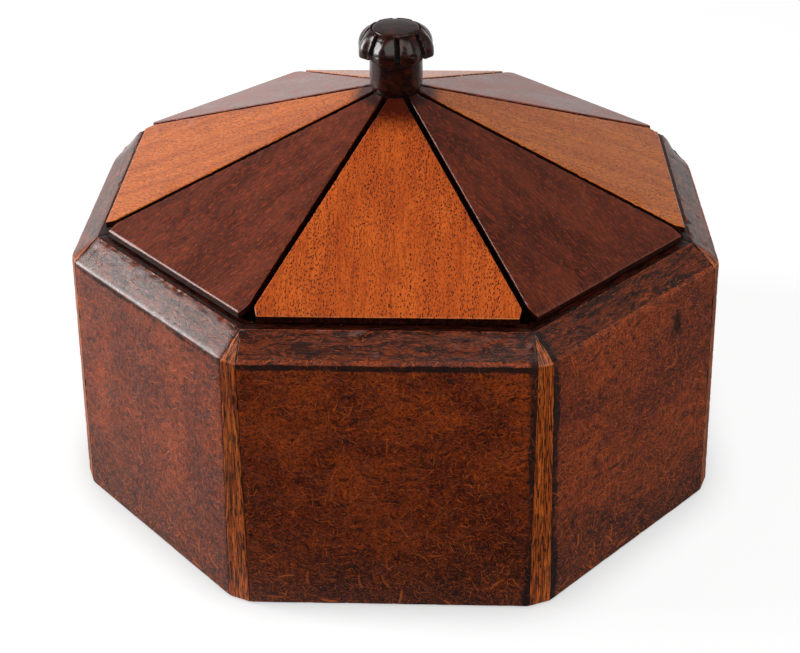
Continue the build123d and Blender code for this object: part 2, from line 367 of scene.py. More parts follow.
def stave_damage(k, kinds, x, s, from_end, lines):
    """How far the stave's surface is worn in, in millimetres."""
    seed = STAVE_SEED + SEED_STEP * k
    handled = k in HANDLED_WALLS
    foot_line, arris_line, ledge_line = lines
    bevel_side = np.isin(kinds, ["bevel", "ledge_arris", "ledge"])[:, None]
    outside = bevel_side | np.isin(kinds, ["foot", "wall", "arris"])[:, None]
    uneven = 0.1 * rough_noise(x / 14, s / 12, seed)
    wavy = (0.04 if handled else 0.2) * rough_noise(x / 24, s / 6, seed + 1, 2) * bevel_side
    chips = smooth(rough_noise(x / 2.1, s / 1.5, seed + 2), 0.58, 0.72)
    worn = rough_noise(x / 6, s / 4, seed + 3)
    at_arris = near(s - arris_line, 1.2) * (0.1 * worn + 0.14 * chips) * (0.35 if handled else 1.0)
    rubbed = np.where(x < 0, CORNER_WEAR[k - 1], CORNER_WEAR[k])
    at_corner = rubbed * near(from_end, 9) * smooth(s, arris_line - CORNER_WEAR_DOWN, arris_line)
    at_corner = at_corner * (1 - smooth(s, arris_line + 1, ledge_line - 1))
    at_ledge = near(s - ledge_line, 0.8) * (0.1 * worn + 0.4 * chips)
    at_foot = near(s - foot_line, 1.2) * (0.15 * worn + 0.08 * chips)
    at_end = near(from_end, 0.8) * (0.08 + 0.3 * smooth(worn, 0.55, 0.8))
    sides = (-np.abs(x).max(), np.abs(x).max())
    pit_depths = (0.03, 0.14) if handled else (0.08, 0.4)
    bevel, wall = (sides, (arris_line + 1, ledge_line)), (sides, (foot_line, arris_line))
    pits = dents(x, s, seed + 4, count=12, box=bevel, sizes=(0.3, 1.1), depths=pit_depths)
    marks = dents(x, s, seed + 5, count=30, box=wall, sizes=(0.4, 1.2), depths=(0.03, 0.16))
    worn_away = uneven + wavy + at_arris + at_corner + at_ledge + at_foot + at_end + pits + marks
    return outside * worn_away + rounded(from_end, JOINT_ROUNDING)


def stave_looks(k, x, s, from_end, lines):
    """How bright the stave's arrises are rubbed, and how dark it is with dirt and with painted shade under
    the arris, from 0 to 1.
    """
    foot_line, arris_line, ledge_line = lines
    ragged = arris_line - 0.3 + 0.5 * rough_noise(x / 3, 0 * x, RAGGED_SEED + k)
    shaded = SHADE_BAND_STRENGTH[k] * (0.75 + 0.5 * rough_noise(x / 9, 0 * x, SHADED_SEED + k, 2))
    # painted shade: a black band just below the bevel's arris
    shade_under_arris = shaded * near(s - ragged + 1.1, 1.0)
    band_width = 3.2 + 2.2 * rough_noise(s / 14, x / 60, BAND_SEED + k, 2)
    patchy = 0.6 + 0.6 * rough_noise(s / 9, x / 40, PATCH_SEED + k)
    strip_band = patchy * np.where(x < 0, *END_DIRT[k]) * smooth(band_width - from_end, -1.5, 3.5)
    at_foot, at_end = 0.7 * near(s - foot_line, 0.8), 0.7 * near(from_end - 0.6, 0.4)
    wear = most(near(s - ragged - 0.25, 0.3), near(s - ledge_line, 0.35), at_foot, at_end) * (1 - shade_under_arris)
    from_stain = np.hypot((x - 24) / 6, (s - arris_line + 14) / 11)
    from_stain = from_stain + 0.5 * rough_noise(x / 3, s / 7, STAIN_SEED) - 0.25
    stain = 0.9 * (1 - smooth(from_stain, -0.1, 1.6)) * (k == STAINED_WALL)
    foot_dirt = 0.5 * near(np.clip(foot_line + 1 - s, 0, None), 3)
    return wear, most(near(from_end, 0.3), strip_band, stain, foot_dirt, 1.2 * shade_under_arris)


def build_stave(k, materials):
    """One stave with its bevel and ledge, between its strip slots and mitres."""
    section, kinds = stave_section()
    line = run_along(section)
    lines = [line[kinds == kind].mean() for kind in ("foot", "arris", "ledge_arris")]
    low, high = stave_end(k, -1, section[:, 0]), stave_end(k, 1, section[:, 0])
    length, dense = high - low, STAVE_ENDS[-1]
    from_low = [np.full(len(section), e) for e in STAVE_ENDS]
    from_low += [dense + (length - 2 * dense) * i / STAVE_COLUMNS for i in range(1, STAVE_COLUMNS)]
    from_low += [length - e for e in STAVE_ENDS[::-1]]
    from_low = np.array(from_low).T
    from_end = np.minimum(from_low, length[:, None] - from_low)
    x = low[:, None] + from_low
    s = line[:, None] + 0 * x
    damage = stave_damage(k, kinds, x, s, from_end, lines)
    normals = normals_of(np.roll(section, -1, 0) - np.roll(section, 1, 0))
    offset = section[:, None, :] - normals[:, None, :] * damage[:, :, None]
    offset[..., 1] = np.clip(offset[..., 1], 0, RIM_HEIGHT)
    along, out = wall_axes(k)
    plan = out * apothem(k) + offset[..., :1] * out + x[..., None] * along
    points = np.concatenate([plan, offset[..., 1:]], 2)
    rows, columns = x.shape
    faces = grid_faces(rows, columns, close_rows=True)
    faces += [tuple(i * columns for i in range(rows))]
    faces += [tuple(i * columns + columns - 1 for i in reversed(range(rows)))]
    row_material = np.array([ROW_MATERIALS[kind] for kind in kinds])
    face_materials = list(np.repeat(row_material, columns - 1)) + [ROW_MATERIALS["inside"]] * 2
    wear, dirt_and_shade = stave_looks(k, x, s, from_end, lines)
    attributes = {"grain": grain_places(x, s, k, STAVE_GRAIN_STEP), "wear": wear, "dirt_and_shade": dirt_and_shade}
    piece = make_piece(f"stave_{WALL_NAMES[k]}", points, faces, attributes, materials, face_materials)
    place(piece, "box", f"wall_{WALL_NAMES[k]}")


# --- Corner strips ---
def strip_section():
    """The strip's upright section from its foot up its flat and over the bevel to its point."""
    foot, arris, point = (flat_reach(FLARE), 0), (flat_reach(0), ARRIS_HEIGHT), (0, RIM_HEIGHT)
    start = fillet_points((0, 0), foot, arris, FOOT_ROUNDING, 8)
    turn = fillet_points(foot, arris, point, ARRIS_ROUNDING, 5)
    rise = subdivided([start[-1], turn[0]], 1.0)[1:-1]
    bevel = subdivided([turn[-1], (0.35, RIM_HEIGHT - 0.25)], 0.7)[1:]
    points = np.array([np.array(p, float) for p in start + rise + turn + bevel])
    kinds = ["foot"] * len(start) + ["wall"] * len(rise) + ["arris"] * len(turn) + ["bevel"] * len(bevel)
    return points, np.array(kinds)


def strip_damage(k, side, s, from_edge, arris_line, foot_line):
    """How far the strip's flat is worn in, in millimetres."""
    seed = STRIP_SEED + SEED_STEP * k
    worn = rough_noise(side / 2.5, s / 6, seed)
    chips = smooth(rough_noise(side / 1.5, s / 1.8, seed + 1), 0.6, 0.74)
    ledge_line = arris_line + hypot(BEVEL_RUN, BEVEL_HEIGHT)
    at_corner = smooth(s, arris_line - CORNER_WEAR_DOWN, arris_line)
    at_corner = CORNER_WEAR[k] * at_corner * (1 - smooth(s, arris_line + 1, ledge_line - 1))
    at_arris = near(s - arris_line, 1.3) * (0.2 * worn + 0.4 * chips)
    at_foot = near(s - foot_line, 1.2) * (0.15 * worn + 0.1 * chips)
    at_joint = 0.35 * chips * near(from_edge, 0.5)
    return 0.12 * worn + at_arris + at_corner + at_foot + at_joint + rounded(from_edge, STRIP_JOINT_ROUNDING)


def build_strip(k, materials):
    """One corner strip: a V in plan whose flat is worn along its joints."""
    section, kinds = strip_section()
    line = run_along(section)[:, None]
    arris_line, foot_line = line[kinds == "arris"].mean(), line[kinds == "foot"].mean()
    reach, height = section[:, :1], section[:, 1:]
    half = reach * STRIP_SPREAD
    side = np.concatenate([-STRIP_SHARES, [0.0], STRIP_SHARES[::-1]]) * half
    s, from_edge = line + 0 * side, half - np.abs(side)
    drop = np.minimum(strip_damage(k, side, s, from_edge, arris_line, foot_line), reach * 0.9)
    normals = normals_of(np.gradient(section, axis=0))
    out = reach - normals[:, :1] * drop
    up = np.clip(height - normals[:, 1:] * drop, 0, RIM_HEIGHT)
    wear = most(near(s - arris_line, 1.2), 0.9 * near(s - foot_line, 2), 0.7 * near(from_edge - 0.5, 0.35))
    dirt_and_shade = most(near(from_edge, 0.2), 0.6 * near(np.clip(foot_line + 2 - s, 0, None), 4))
    hidden = np.zeros((len(section), len(STRIP_BACK)))
    out = np.concatenate([out, np.where(STRIP_BACK > 0, out[:, -1:], out[:, :1]) * np.abs(STRIP_BACK)], 1)
    side = np.concatenate([side, half * STRIP_BACK], 1)
    up = np.concatenate([up, up[:, -1:] + hidden], 1)
    corner_out, corner_along = corner_axes(k)
    plan = octagon(BEVEL_RUN)[k] + out[..., None] * corner_out + side[..., None] * corner_along
    points = np.concatenate([plan, up[..., None]], 2)
    attributes = {
        "grain": grain_places(side, line + 0 * side, k, STRIP_GRAIN_STEP),
        "wear": np.concatenate([wear, hidden], 1),
        "dirt_and_shade": np.concatenate([dirt_and_shade, hidden + 1], 1),
    }
    piece = make_piece(f"strip_{k + 1}", points, tube_faces(*out.shape), attributes, materials)
    place(piece, "box", f"corner_strip_{k + 1}")


# --- Lid boards ---
def is_light(k):
    """Whether lid board k is one of the four light ones."""
    return k % 2 == 0


def board_half_width(k, side, reach):
    """Half width of lid board k on one side at a distance out from the axis, before its corner is shaped."""
    along, _ = wall_axes(k)
    corner = octagon(LID_INSET)[k if side > 0 else k - 1]
    x, y = abs(corner @ along), apothem(k) - LID_INSET
    return reach * x / y - BOARD_GAP / 2 * hypot(x, y) / y


def shaped_half_width(k, side, reach):
    """Half width with the outer corner cut off."""
    plain = board_half_width(k, side, reach)
    edge = apothem(k) - LID_INSET
    corner = board_half_width(k, side, edge)
    slope = corner - board_half_width(k, side, edge - 1)
    from_edge = edge - reach
    along_edge = LIGHT_CLIP_ALONG_EDGE if is_light(k) else DARK_CLIP_ALONG_EDGE
    run = CLIP_ALONG_SIDE / hypot(1, slope)
    clipped = corner - along_edge + from_edge * (along_edge - slope * run) / run
    return np.where(from_edge < run, np.minimum(plain, clipped), plain)


def board_grid(k, edge, start):
    """Where the board's points are across it and out from the axis, and how far from its side."""
    body = np.linspace(start + 1.4, edge - BOARD_ENDS[-1], BOARD_ROWS)[:-1]
    reach = np.concatenate([[start - 0.35, start + 0.1, start + 0.6], body, edge - BOARD_ENDS[::-1]])
    columns = np.concatenate([BOARD_SHARES - 1, (1 - BOARD_SHARES)[::-1][1:]])
    reach = reach[:, None] + 0 * columns
    half = np.where(columns < 0, shaped_half_width(k, -1, reach), shaped_half_width(k, 1, reach))
    from_side = (1 - np.abs(columns)) * half
    # columns near a side stand at the same few tenths of a millimetre from it on every row
    count = len(BOARD_SIDES)
    for beside, widest in ((slice(count), half[:, :1]), (slice(None, -count - 1, -1), half[:, -1:])):
        from_side[:, beside] = np.minimum(BOARD_SIDES, widest * BOARD_SIDES / BOARD_SIDES[-1] * 0.5)
    x = np.sign(columns) * (half - from_side)
    round_knob = np.sqrt(np.clip(start**2 - x[:3] ** 2, 0, None))
    reach[:3] = round_knob + np.array([[0.0], [0.35], [0.9]])
    return x, reach, from_side


def board_damage(k, x, reach, from_edge, distance):
    """How far the board's top is worn down, in millimetres, by its distance from the nearest side or end."""
    seed = BOARD_SEED + SEED_STEP * k
    softness = 0.25 if is_light(k) else 0.3 + 0.15 * near(from_edge, 3)
    softness = softness + 0.35 * (x < 0) * (k == SOFTEST_BOARD)
    radius = softness + 0.2 * rough_noise(x / 6, reach / 6, seed)
    chips = 0.3 * smooth(rough_noise(x / 1.6, reach / 1.6, seed + 1), 0.62, 0.76) * near(distance, 0.5)
    uneven = 0.1 * rough_noise(x / 12, reach / 14, seed + 2)
    spread = ((-40, 40), (20, reach.max()))
    marks = dents(x, reach, seed + 3, count=14, box=spread, sizes=(0.3, 0.8), depths=(0.03, 0.1))
    return rounded(distance, radius) + chips + uneven + marks


def build_board(k, materials, painted_sheen):
    """One lid board: a tapering plate with softened arrises, on its slope."""
    edge, start = apothem(k) - LID_INSET, NECK_FOOT_RADIUS + NECK_FIT
    rise = LID_RISE / edge
    x, reach, from_side = board_grid(k, edge, start)
    side_slope = board_half_width(k, 1, 1.0) - board_half_width(k, 1, 0.0)
    distance = np.minimum(from_side / hypot(1, side_slope), edge - reach)
    slope_height = LID_EDGE_HEIGHT + (edge - reach) * rise
    top = slope_height - board_damage(k, x, reach, edge - reach, distance)
    along, out = wall_axes(k)
    plan = x[..., None] * along + reach[..., None] * out
    layers = [np.concatenate([plan, z[..., None]], 2) for z in (top, slope_height - BOARD_THICKNESS)]
    rows, columns = x.shape
    count = rows * columns
    faces = [face[::-1] for face in grid_faces(rows, columns)]
    top_faces = len(faces)
    faces += grid_faces(rows, columns, start=count)
    ring = list(range(columns)) + [i * columns + columns - 1 for i in range(1, rows)]
    ring += [count - columns + j for j in reversed(range(columns - 1))]
    ring += [i * columns for i in reversed(range(1, rows - 1))]
    faces += [(a, b, b + count, a + count) for a, b in zip(ring, ring[1:] + ring[:1])]
    face_materials = [0] * top_faces + [1] * (len(faces) - top_faces)
    grain = grain_places(x, reach * hypot(1, rise), k, BOARD_GRAIN_STEP)
    # painted reflection and shade of the dark knob on the board round the neck
    dirt_and_shade = near(reach - start, KNOB_SHADE_REACH[0 if k else 1])
    attributes = {
        "grain": np.concatenate([grain, grain + np.array([0, 0, UNDERSIDE_GRAIN])]),
        "wear": np.concatenate([near(distance, 0.4), np.zeros_like(x)]),
        "dirt_and_shade": np.concatenate([dirt_and_shade, np.ones_like(x)]),
        "painted_sheen": np.full(2 * count, painted_sheen),
    }
    wood = "light" if is_light(k) else "dark"
    name = f"board_{wood}_{WALL_NAMES[k]}"
    piece = make_piece(name, np.concatenate(layers), faces, attributes, materials, face_materials, sharp=50)
    place(piece, "lid", f"lid_{name}")


# --- Knob ---
def knob_profile():
    """Radius and height of the knob from the tenon's end to the middle of the disc."""
    dome_centre = (HEAD_RADIUS - DOME_RADIUS, DOME_FOOT)
    end_angle = np.degrees(np.arcsin(DOME_RISE / DOME_RADIUS))
    foot_run = NECK_RADIUS - NECK_FOOT_RADIUS
    foot_radius = (foot_run**2 + NECK_FOOT_HEIGHT**2) / (2 * foot_run)
    foot_centre = (NECK_RADIUS - foot_radius, BOARDS_TOP_AT_NECK + NECK_FOOT_HEIGHT)
    foot_angle = -np.degrees(np.arcsin(NECK_FOOT_HEIGHT / foot_radius))
    tenon_end = KNOB_SEAT - TENON_LENGTH
    groove_middle, groove_bottom = (RING_RADIUS + DISC_RADIUS) / 2, RING_HEIGHT - RING_DEPTH + 0.05
    lip = 0.9  # radius of the head's lower edge
    lines = [
        [(0.01, tenon_end), (TENON_RADIUS, tenon_end)],
        [(TENON_RADIUS, KNOB_SEAT), (NECK_FOOT_RADIUS, KNOB_SEAT)],
        subdivided(arc(foot_centre, foot_radius, foot_angle, 0, 8), 0.5),
        subdivided([(NECK_RADIUS, foot_centre[1] + 0.5), (NECK_RADIUS, HEAD_BOTTOM - 0.15)], 0.5),
        subdivided([(NECK_RADIUS + 0.1, HEAD_BOTTOM), (HEAD_RADIUS - 1.0, HEAD_BOTTOM)], 0.5),
        arc((HEAD_RADIUS - lip, HEAD_BOTTOM + lip), lip, -85, 0, 7),
        [(HEAD_RADIUS, (HEAD_BOTTOM + lip + DOME_FOOT) / 2)],
        subdivided(arc(dome_centre, DOME_RADIUS, 0, end_angle, 24), 0.4),
        [(RING_RADIUS - 0.12, RING_HEIGHT - 0.25), (groove_middle + 0.05, groove_bottom)],
        [(groove_middle - 0.1, groove_bottom), (DISC_RADIUS + 0.05, RING_HEIGHT - 0.15)],
        [(DISC_RADIUS - 0.15, RING_HEIGHT + 0.02), (DISC_RADIUS - 0.5, RING_HEIGHT + 0.14)],
        [(r, RING_HEIGHT + DISC_RISE * (1 - (r / DISC_RADIUS) ** 2) ** 0.6) for r in DISC_RADII],
    ]
    return np.array([p for part in lines for p in part], float)


def knob_carving(radius, height, angle):
    """The depth of the grooves between the lobes and of the whole cut, and each groove's edge."""
    pitch = 2 * pi / LOBE_COUNT
    from_groove = (angle + pi / 2 - radians(KNOB_TURN) + pitch / 2) % pitch - pitch / 2
    sideways = np.abs(radius * np.sin(from_groove))
    on_head = smooth(height, HEAD_BOTTOM - 0.01, HEAD_BOTTOM + 0.01)
    on_head = on_head * smooth(radius, RING_RADIUS - 0.1, RING_RADIUS + 0.3)
    half_width = 0.9 + 0.25 * smooth(radius, 9, 12.5)
    groove = GROOVE_DEPTH * (1 - smooth(sideways, half_width * 0.6, half_width * 1.1))
    shoulder = 1.1 * near(np.clip(sideways - half_width, 0, None), 2.6)
    shoulder = shoulder * smooth(radius, RING_RADIUS - 0.5, HEAD_RADIUS - 1)
    edge = near(sideways - half_width * 1.1, 0.3) * on_head
    return groove, np.maximum(groove, shoulder) * on_head, edge, on_head


def knob_damage(height, angle, line):
    """How far the knob's surface above the boards is worn in, in millimetres."""
    wobble = 0.03 * rough_noise(angle * 3 + 40, line / 4, KNOB_SEED)
    spread = ((-15, 45), (BOARDS_TOP_AT_NECK, RING_HEIGHT))
    across = angle * NECK_RADIUS + 0 * line
    up = height + 0 * angle
    nicks = dents(across, up, KNOB_SEED + 1, count=34, box=spread, sizes=(0.2, 0.5), depths=(0.05, 0.2))
    return smooth(height, BOARDS_TOP_AT_NECK - 0.2, BOARDS_TOP_AT_NECK + 0.2) * (wobble + nicks)


def build_knob(material):
    """The turned knob with eight carved lobes round its head."""
    profile = knob_profile()
    radius, height, line = profile[:, :1], profile[:, 1:], run_along(profile)[:, None]
    angle = np.linspace(0, 2 * pi, KNOB_COLUMNS, endpoint=False)[None, :] - pi / 2
    groove, cut, groove_edge, on_head = knob_carving(radius, height, angle)
    depth = cut + knob_damage(height, angle, line)
    normal = normals_of(np.gradient(profile, axis=0))
    r = np.clip(radius - normal[:, :1] * depth, 0.005, None)
    z = height - normal[:, 1:] * depth
    points = np.stack([r * np.cos(angle), r * np.sin(angle), z], 2)
    lip = near(line - line[np.argmax(radius > HEAD_RADIUS - 0.3)], 0.7) * on_head
    disc_edge = near(radius - DISC_RADIUS + 0.15, 0.22) * smooth(height, RING_HEIGHT - 0.4, RING_HEIGHT)
    ring_edge = near(radius - RING_RADIUS, 0.2) * smooth(height, RING_HEIGHT - 0.6, RING_HEIGHT - 0.2)
    wear = most(lip, groove_edge, disc_edge, ring_edge)
    ring_middle = (RING_RADIUS + DISC_RADIUS) / 2
    # painted shade: the ring groove, the neck's foot, the carved grooves and a band under the head are
    # darkened
    shade_in_ring = near(radius - ring_middle, 0.3) * smooth(height, RING_HEIGHT - 1, RING_HEIGHT - 0.6)
    at_foot = 0.5 * near(height - BOARDS_TOP_AT_NECK, 1.5) * (height < BOARDS_TOP_AT_NECK + 4)
    shade_in_groove = smooth(groove, 0.4, 1.2) * smooth(height, HEAD_BOTTOM - 0.3, HEAD_BOTTOM)
    shade_in_groove = shade_in_groove * smooth(radius, RING_RADIUS - 1, RING_RADIUS)
    shade_under_head = 0.9 * near(height - HEAD_BOTTOM + 0.5, 1.5) * (radius < NECK_RADIUS + 0.05)
    dirt_and_shade = most(shade_in_groove, shade_in_ring, at_foot, shade_under_head)
    attributes = {"grain": points + KNOB_GRAIN_SHIFT, "wear": wear, "dirt_and_shade": dirt_and_shade}
    piece = make_piece("knob_turned", points, tube_faces(*z.shape), attributes, [material], sharp=60)
    place(piece, "lid", "knob")


# --- Nodes ---
def srgb(red, green, blue):
    """A colour written in 0 to 255 display values."""
    def linear(value):
        share = value / 255
        return share / 12.92 if share <= 0.04045 else ((share + 0.055) / 1.055) ** 2.4

    return (linear(red), linear(green), linear(blue), 1.0)


class Nodes:
    """Builds one node tree with short calls."""

    def __init__(self, tree):
        self.tree = tree

    def feed(self, socket, value):
        if isinstance(value, bpy.types.NodeSocket):
            self.tree.links.new(value, socket)
        else:
            socket.default_value = value

    def node(self, kind, inputs, **settings):
        """The outputs of a new node, whose inputs are fed by name or number."""
        made = self.tree.nodes.new("ShaderNode" + kind)
        for key, value in settings.items():
            setattr(made, key, value)
        for key, value in inputs.items():
            self.feed(made.inputs[key], value)
        return made.outputs

    def math(self, operation, first, second=0.0):
        return self.node("Math", {0: first, 1: second}, operation=operation)[0]

    def plus(self, first, second):
        return self.math("ADD", first, second)

    def minus(self, first, second):
        return self.math("SUBTRACT", first, second)

    def times(self, *factors):
        product = factors[0]
        for factor in factors[1:]:
            product = self.math("MULTIPLY", product, factor)
        return product

    def most(self, *values):
        """The greatest of several shares."""
        greatest = values[0]
        for value in values[1:]:
            greatest = self.math("MAXIMUM", greatest, value)
        return greatest

    def step(self, value, low, high, to_low=0.0, to_high=1.0):
        """A share that goes smoothly from to_low at low to to_high at high."""
        inputs = {"Value": value, "From Min": low, "From Max": high, "To Min": to_low, "To Max": to_high}
        return self.node("MapRange", inputs, interpolation_type="SMOOTHSTEP")[0]

    def split(self, vector):
        """The vector's three numbers."""
        return self.node("SeparateXYZ", {0: vector})

    def here(self, kind="Object"):
        """The point on the object, or the direction in the world."""
        return self.node("TexCoord", {})[kind]


class Shader(Nodes):
    """Builds one material, whose colour is painted on layer by layer."""

    def __init__(self, name, specular, coat=0.0, coat_roughness=0.2):
        self.material = bpy.data.materials.new(name)
        self.material.use_nodes = True
        super().__init__(self.material.node_tree)
        self.surface = self.tree.nodes["Principled BSDF"]
        constants = {"Specular IOR Level": specular, "Coat Weight": coat, "Coat Roughness": coat_roughness}
        for key, value in constants.items():
            self.surface.inputs[key].default_value = value

    def attributes(self, *names):
        """The wood's place in millimetres ("grain") and shares that the mesh carries."""
        made = [self.node("Attribute", {}, attribute_name=name) for name in names]
        return [outputs["Vector" if name == "grain" else "Fac"] for name, outputs in zip(names, made)]

    def scaled(self, vector, scale, shift=(0, 0, 0), turn=0.0, kind="POINT"):
        inputs = {"Vector": vector, "Location": shift, "Rotation": (0, 0, turn), "Scale": scale}
        return self.node("Mapping", inputs, vector_type=kind)[0]

    def noise(self, vector, scale, detail=2.0, roughness=0.5, distortion=0.0, output="Fac"):
        """Noise whose scale is one number or one for each axis."""
        if isinstance(scale, tuple):
            vector, scale = self.scaled(vector, scale), 1.0
        inputs = {"Vector": vector, "Scale": scale, "Detail": detail, "Roughness": roughness}
        return self.node("TexNoise", {**inputs, "Distortion": distortion})[output]

    def bend(self, vector, scale, detail, reach):
        """The vector pushed to and fro by noise."""
        push = self.noise(vector, scale, detail, output="Color")
        return self.node("VectorMath", {0: push, 1: (reach,) * 3, 2: vector}, operation="MULTIPLY_ADD")[0]

    def spots(self, vector, scale, dimensions="2D"):
        """Scattered points, each with its distance, place and random colour."""
        return self.node("TexVoronoi", {"Vector": vector, "Scale": scale}, voronoi_dimensions=dimensions)

    def fibres(self, vector, *kinds):
        """Short straight fibres of kinds (turn from the wood's length, width, length, low, high, shift)."""
        layers = []
        for turn, width, length, low, high, shift in kinds:
            place_at = self.scaled(vector, (width, length, 1), (shift, shift, 0), radians(turn), "TEXTURE")
            layers.append(self.step(self.noise(place_at, 1.0, 1.0), low, high))
        return self.most(*layers)

    def strokes(self, vector, cell, length, width, share, bow=0.0, shift=0.0):
        """Thin strokes in random directions, one in each of a share of the patches of the wood."""
        vector = self.scaled(self.bend(vector, 0.3, 1.0, 0.4), (1, 1, 0), (shift, shift * 0.7, 0))
        patches = self.spots(vector, 1 / cell)
        middle = patches["Position"]
        chance = self.node("SeparateColor", {0: patches["Color"]})
        turn = {"Vector": vector, "Center": middle, "Angle": self.times(chance[0], 2 * pi)}
        turned = self.node("VectorRotate", turn, rotation_type="Z_AXIS")[0]
        local = self.node("VectorMath", {0: turned, 1: middle}, operation="SUBTRACT")[0]
        x, y, _ = self.split(local)
        across = self.math("ABSOLUTE", self.plus(x, self.times(y, y, bow)))
        thin = self.step(across, width * 0.75, width * 0.2)
        inside = self.step(self.math("ABSOLUTE", y), length * 0.5, length * 0.25)
        chosen = self.step(chance[1], 1 - share, 1 - share + 0.02)
        return self.times(thin, inside, chosen)

    def ragged(self, share, breakup, low, high, strength=1.0):
        """A share whose border is broken up by noise."""
        return self.step(self.plus(share, breakup), low, high, 0.0, strength)

    def blend(self, share, first, second, kind="MIX"):
        return self.node("Mix", {0: share, 6: first, 7: second}, data_type="RGBA", blend_type=kind)[2]

    def ground(self, share, first, second):
        """The lowest layer, between two display colours."""
        self.colour = self.blend(share, srgb(*first), srgb(*second))

    def paint(self, share, colour, strength=1.0):
        """Lays a display colour over the layers below."""
        if strength < 1:
            share = self.times(share, strength)
        self.colour = self.blend(share, self.colour, srgb(*colour))

    def tint(self, share, factors):
        """Multiplies the layers below by three factors."""
        tinted = self.blend(1.0, self.colour, (*factors, 1.0), "MULTIPLY")
        self.colour = self.blend(share, self.colour, tinted)

    def finish(self, roughness, relief, depth, strength):
        """The whole material, with relief that is depth millimetres high."""
        bump = self.node("Bump", {"Strength": strength, "Distance": depth * MM, "Height": relief})[0]
        for key, value in {"Base Color": self.colour, "Roughness": roughness, "Normal": bump}.items():
            self.feed(self.surface.inputs[key], value)
        return self.material


# --- Materials ---
def burr_wood():
    """The walls' outside: dark red-brown, full of short fibres, dark flecks and cloudy patches."""
    s = Shader("burr_wood", 0.35)
    grain, wear, dirt_and_shade = s.attributes("grain", "wear", "dirt_and_shade")
    bent = s.bend(grain, 0.09, 2.0, 9.0)
    clouds = s.noise(grain, 0.03, 4.0, 0.6, 0.6)
    s.ground(s.step(clouds, 0.38, 0.62), (116, 38, 11), (180, 74, 22))
    s.paint(s.step(s.noise(bent, (0.16, 0.5, 1), 5.0, 0.7), 0.48, 0.64, 0.0, 0.7), (44, 16, 9))
    uneven_height = s.plus(s.split(grain)[1], s.times(s.noise(bent, (0.03, 0.1, 1), 3.0, 0.6), 70.0))
    low_down = s.step(uneven_height, 99.0, 46.0)
    s.paint(low_down, (38, 11, 7), 0.82)
    light = s.fibres(
        bent, (62, 0.32, 2.2, 0.56, 0.7, 0), (105, 0.3, 1.6, 0.57, 0.7, 17), (20, 0.3, 1.4, 0.58, 0.7, 41)
    )
    s.paint(light, (200, 88, 28), 0.7)
    dark = s.fibres(
        bent, (80, 0.34, 1.5, 0.56, 0.68, 7), (128, 0.3, 1.3, 0.58, 0.7, 29), (35, 0.32, 1.2, 0.58, 0.7, 53)
    )
    s.paint(dark, (30, 11, 7), 0.58)
    pit = s.step(s.spots(grain, 0.62)["Distance"], 0.2, 0.1)
    s.paint(pit, (16, 7, 5), 0.8)
    curl = s.noise(bent, (0.1, 0.35, 1), 4.0, 0.7)
    s.paint(s.step(curl, 0.56, 0.66, 0.0, 0.75), (30, 10, 7))
    stain = s.step(s.noise(grain, (0.09, 0.05, 1), 5.0, 0.7), 0.62, 0.7, 0.0, 0.8)
    s.paint(stain, (22, 10, 8))
    breakup = s.noise(grain, (0.8, 0.35, 1), 4.0, 0.7)
    # dirt, and the painted shade under the bevel's arris, darken the wood here
    dirt_and_shade_layer = s.ragged(s.times(dirt_and_shade, 0.9), s.times(breakup, 0.75), 0.72, 1.15)
    s.paint(dirt_and_shade_layer, (16, 6, 4), 0.92)
    long = s.strokes(grain, 12.0, 8.0, 0.26, 0.3, 0.02)
    short = s.strokes(grain, 4.2, 3.6, 0.26, 0.5, 0.03, 31.0)
    crumbs = s.strokes(grain, 2.6, 2.2, 0.22, 0.5, 0.05, 57.0)
    splinters = s.times(s.strokes(grain, 9.0, 8.0, 0.7, 0.45, 0.05, 77.0), low_down)
    patchy = s.step(s.noise(grain, 0.06, 2.0), 0.4, 0.6, 0.6, 1.0)
    clean_and_unshaded = s.minus(1.0, s.times(dirt_and_shade, 0.8))
    s.paint(s.times(s.most(long, short, crumbs, splinters), patchy, clean_and_unshaded), (232, 114, 42))
    s.paint(s.ragged(wear, s.noise(grain, 0.8, 3.0, 0.6), 1.25, 1.5, 0.8), (168, 68, 24))
    relief = s.minus(s.times(light, 0.5), s.times(s.most(dark, pit, stain), 0.8))
    dull = s.most(s.step(breakup, 0.3, 0.7, 0.32, 0.48), s.times(dirt_and_shade_layer, 0.85))
    return s.finish(dull, relief, 0.08, 0.7)


